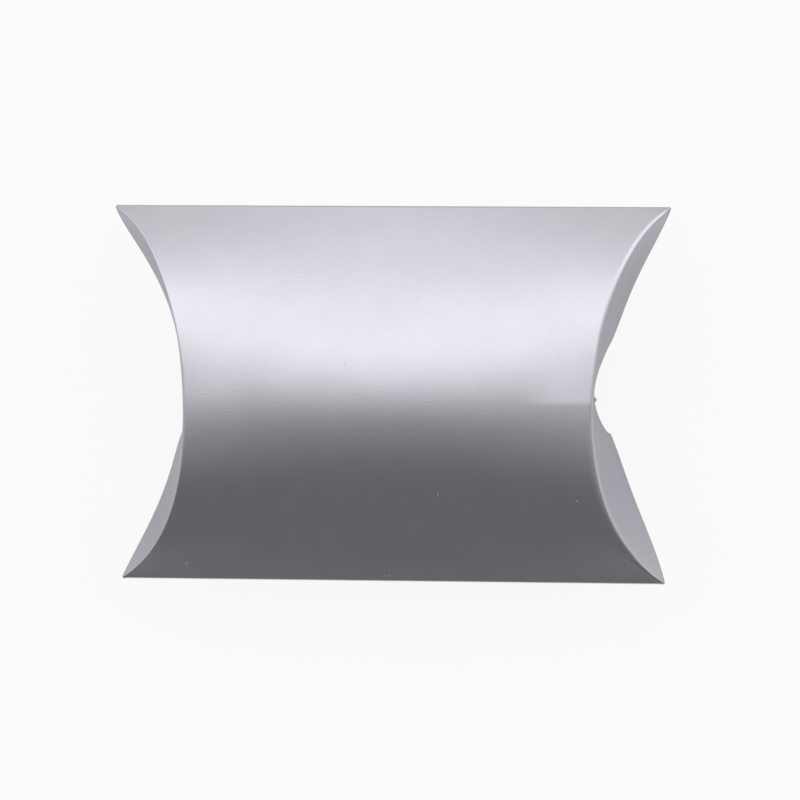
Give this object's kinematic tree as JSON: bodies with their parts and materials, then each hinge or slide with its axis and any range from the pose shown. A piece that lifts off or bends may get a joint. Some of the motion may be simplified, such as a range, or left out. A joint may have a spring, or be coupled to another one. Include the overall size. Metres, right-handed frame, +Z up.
{
  "type": "pillow box",
  "caption": "Pillow box of folded silver card: bulged front and back panels, concave curved end creases, overlapping end flaps with thumb notches and a glued long seam.",
  "frame": {"origin": "middle of the back panel's crown, where the box lies on the table", "axes": "+X along the box's length to its right end in the picture, +Y across the box to the spine fold, +Z up out of the front panel"},
  "size_m": [0.0902, 0.0626, 0.024],
  "materials": {
    "silver_card": "satin metallised film on white card",
    "glue": "dried adhesive film"
  },
  "bodies": {
    "shell": {"front_panel": "silver_card", "back_panel": "silver_card", "spine_fold": "silver_card", "seam_fold": "silver_card", "glue_tab": "silver_card", "glue_line": "glue"},
    "right_outer_flap": {"right_outer_flap": "silver_card"},
    "right_inner_flap": {"right_inner_flap": "silver_card"},
    "left_outer_flap": {"left_outer_flap": "silver_card"},
    "left_inner_flap": {"left_inner_flap": "silver_card"}
  },
  "joints": [
    {"name": "right_outer_hinge", "type": "hinge", "parent": "shell", "child": "right_outer_flap", "pos_m": [0.0328, 0, 0.024], "axis": [0, -1, 0], "range_deg": [0, 80]},
    {"name": "right_inner_hinge", "type": "hinge", "parent": "shell", "child": "right_inner_flap", "pos_m": [0.0317, 0, 0], "axis": [0, 1, 0], "range_deg": [0, 56]},
    {"name": "left_outer_hinge", "type": "hinge", "parent": "shell", "child": "left_outer_flap", "pos_m": [-0.0328, 0, 0.024], "axis": [0, 1, 0], "range_deg": [0, 80]},
    {"name": "left_inner_hinge", "type": "hinge", "parent": "shell", "child": "left_inner_flap", "pos_m": [-0.0317, 0, 0], "axis": [0, -1, 0], "range_deg": [0, 56]}
  ],
  "couplings": [
    {"joint": "right_inner_hinge", "follows": "right_outer_hinge", "ratio": 0.7},
    {"joint": "left_inner_hinge", "follows": "left_outer_hinge", "ratio": 0.7}
  ]
}
